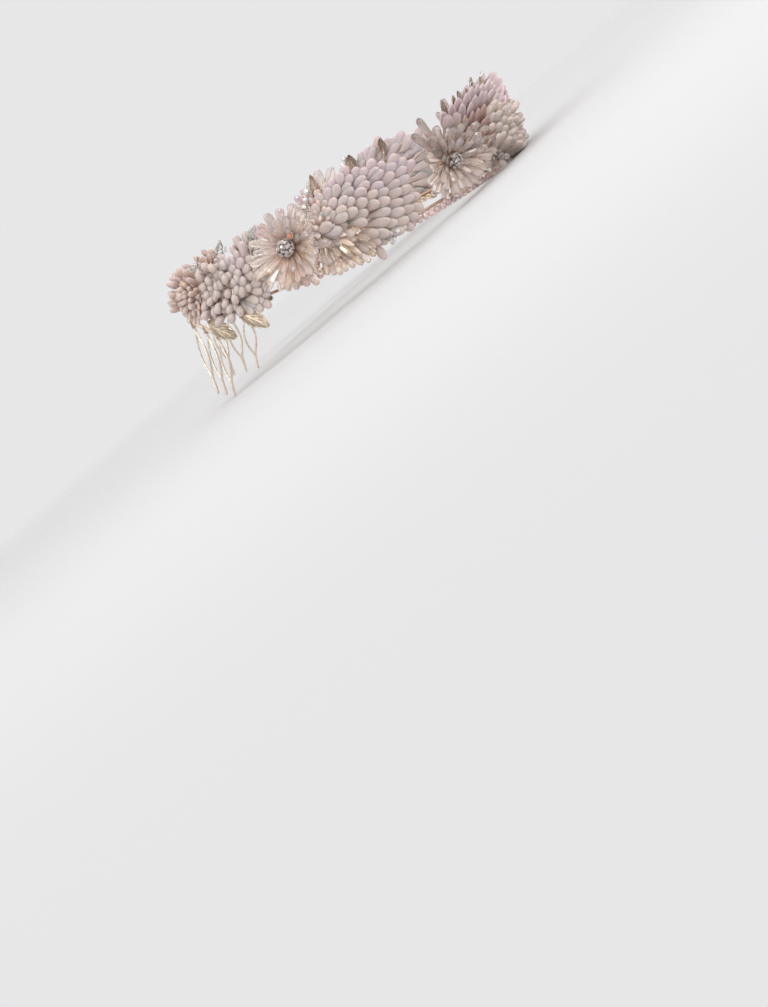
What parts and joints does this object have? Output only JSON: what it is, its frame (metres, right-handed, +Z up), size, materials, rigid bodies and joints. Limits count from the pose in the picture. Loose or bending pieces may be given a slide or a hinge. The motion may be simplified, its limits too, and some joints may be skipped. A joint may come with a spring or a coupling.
{
  "type": "crystal tiara",
  "caption": "Wired tiara of frosted petals, faceted peach crystal flowers, pearl beads and gold leaves over a rose cup chain, open at the back, with a wire comb under each end.",
  "frame": {"origin": "under the middle of the tiara, on the surface that it rests on", "axes": "+Z up, -Y to the front centre of the tiara, -X to the wearer's right"},
  "size_m": [0.1664, 0.2036, 0.0641],
  "materials": {
    "gold_metal": "pale rose gold plated wire, satin polish",
    "antique_gold": "antiqued gold leaves with worn bright veins",
    "rose_stones": "foiled rose rhinestones in gold cups",
    "clear_rhinestones": "foiled clear rhinestones in silver settings",
    "peach_crystal": "faceted peach glass with a rainbow coating",
    "frosted_petals": "frosted translucent petals, semi-gloss",
    "pearl_beads": "pearl lustre, peach to brown"
  },
  "bodies": {
    "root": {"cluster_end_l": "pearl_beads", "cluster_end_r": "pearl_beads", "cluster_side_l": "pearl_beads", "cluster_side_r": "pearl_beads", "comb_l": "gold_metal", "comb_r": "gold_metal", "cup_chain": "rose_stones", "flower_brow_l": "peach_crystal", "flower_brow_r": "peach_crystal", "flower_front_l": "peach_crystal", "flower_front_r": "peach_crystal", "flower_side_l": "peach_crystal", "flower_side_r": "peach_crystal", "headband": "gold_metal", "leaf_centre": "gold_metal", "leaf_crest_l": "antique_gold", "leaf_crest_r": "antique_gold", "leaf_end_l": "antique_gold", "leaf_end_r": "antique_gold", "leaf_filigree_l": "antique_gold", "leaf_filigree_r": "antique_gold", "leaf_low_l": "antique_gold", "leaf_low_r": "antique_gold", "leaf_mid_l": "antique_gold", "leaf_mid_r": "antique_gold", "leaf_peak_a_l": "antique_gold", "leaf_peak_a_r": "antique_gold", "leaf_peak_b_l": "antique_gold", "leaf_peak_b_r": "antique_gold", "leaf_rear_l": "antique_gold", "leaf_rear_r": "antique_gold", "leaf_side_l": "antique_gold", "leaf_side_r": "antique_gold", "pave_brow_l": "clear_rhinestones", "pave_brow_r": "clear_rhinestones", "pave_front_l": "clear_rhinestones", "pave_front_r": "clear_rhinestones", "pave_side_l": "clear_rhinestones", "pave_side_r": "clear_rhinestones", "spray_back_l": "frosted_petals", "spray_back_r": "frosted_petals", "spray_brow_l": "frosted_petals", "spray_brow_r": "frosted_petals", "spray_crest_l": "frosted_petals", "spray_crest_r": "frosted_petals", "spray_side_l": "frosted_petals", "spray_side_r": "frosted_petals"}
  },
  "joints": []
}
